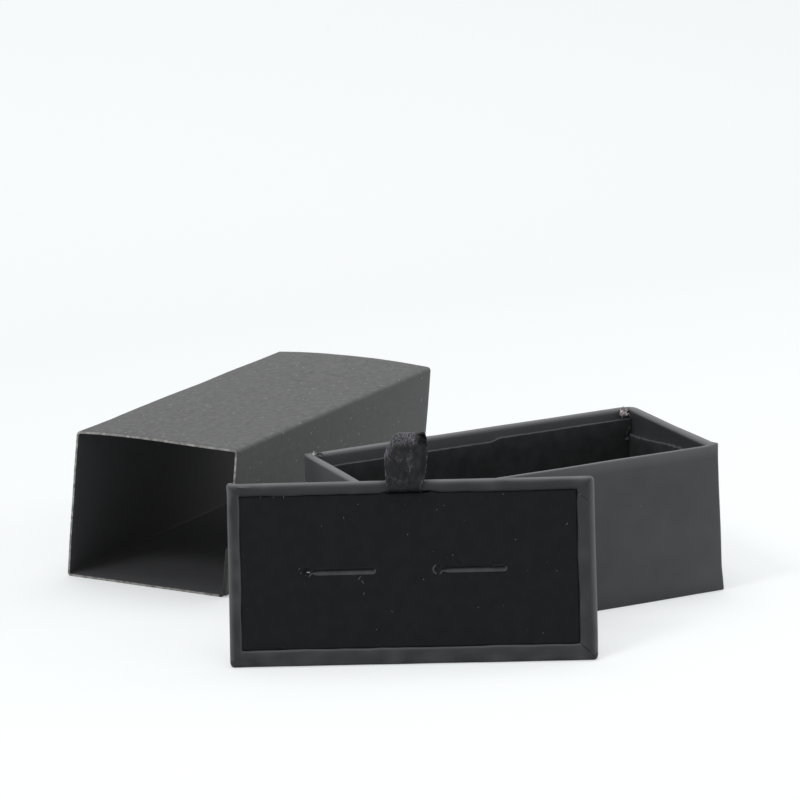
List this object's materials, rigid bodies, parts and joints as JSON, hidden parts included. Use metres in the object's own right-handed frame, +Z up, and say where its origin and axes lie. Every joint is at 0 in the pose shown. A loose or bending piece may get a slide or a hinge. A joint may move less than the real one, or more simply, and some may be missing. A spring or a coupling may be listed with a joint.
{
  "type": "cufflink box",
  "caption": "Small slide-out cufflink box laid out taken apart: folded card sleeve, wrapped rigid drawer, and a velvet insert with slits and a ribbon pull.",
  "frame": {"origin": "middle of the laid-out set, on the surface it stands on", "axes": "+Z up, +X along the drawer's long side to the right, +Y away from the viewer: the sleeve stands behind and left of the drawer, the insert in front of it"},
  "size_m": [0.1352, 0.1848, 0.0522],
  "materials": {
    "card": "matt black card, dyed through, uncoated, with a mottled fibre face",
    "soft_touch_paper": "charcoal paper with a soft-touch matt coating",
    "greyboard": "raw grey board",
    "stay_tape": "gummed kraft tape",
    "lining": "black matt lining paper",
    "foam": "black open-cell foam",
    "velvet": "black short-pile velvet",
    "ribbon": "black woven satin ribbon"
  },
  "bodies": {
    "sleeve": {"sleeve_card": "card"},
    "drawer": {"drawer_board": "greyboard", "corner_stay_front_left": "stay_tape", "corner_stay_front_right": "stay_tape", "corner_stay_back_left": "stay_tape", "corner_stay_back_right": "stay_tape", "drawer_wrap": "soft_touch_paper", "liner_front": "lining", "liner_back": "lining", "liner_left": "lining", "liner_right": "lining", "floor_lining": "lining"},
    "insert": {"insert_base": "greyboard", "insert_frame": "greyboard", "insert_wrap": "soft_touch_paper", "foam_pad": "foam", "velvet_cover": "velvet", "ribbon_tail": "ribbon"},
    "ribbon": {"ribbon_loop": "ribbon"}
  },
  "joints": [
    {"name": "drawer_slide", "type": "slide", "parent": "sleeve", "child": "drawer", "axis": [1, 0, 0], "range_m": [0, 0.09]},
    {"name": "insert_lift", "type": "slide", "parent": "drawer", "child": "insert", "axis": [-0.4349, -0.8573, 0.2756], "range_m": [0, 0.037]},
    {"name": "ribbon_fold", "type": "hinge", "parent": "insert", "child": "ribbon", "pos_m": [-0.01773, -0.06425, 0.03834], "axis": [0.8918, -0.4524, 0], "range_deg": [0, 170]}
  ]
}
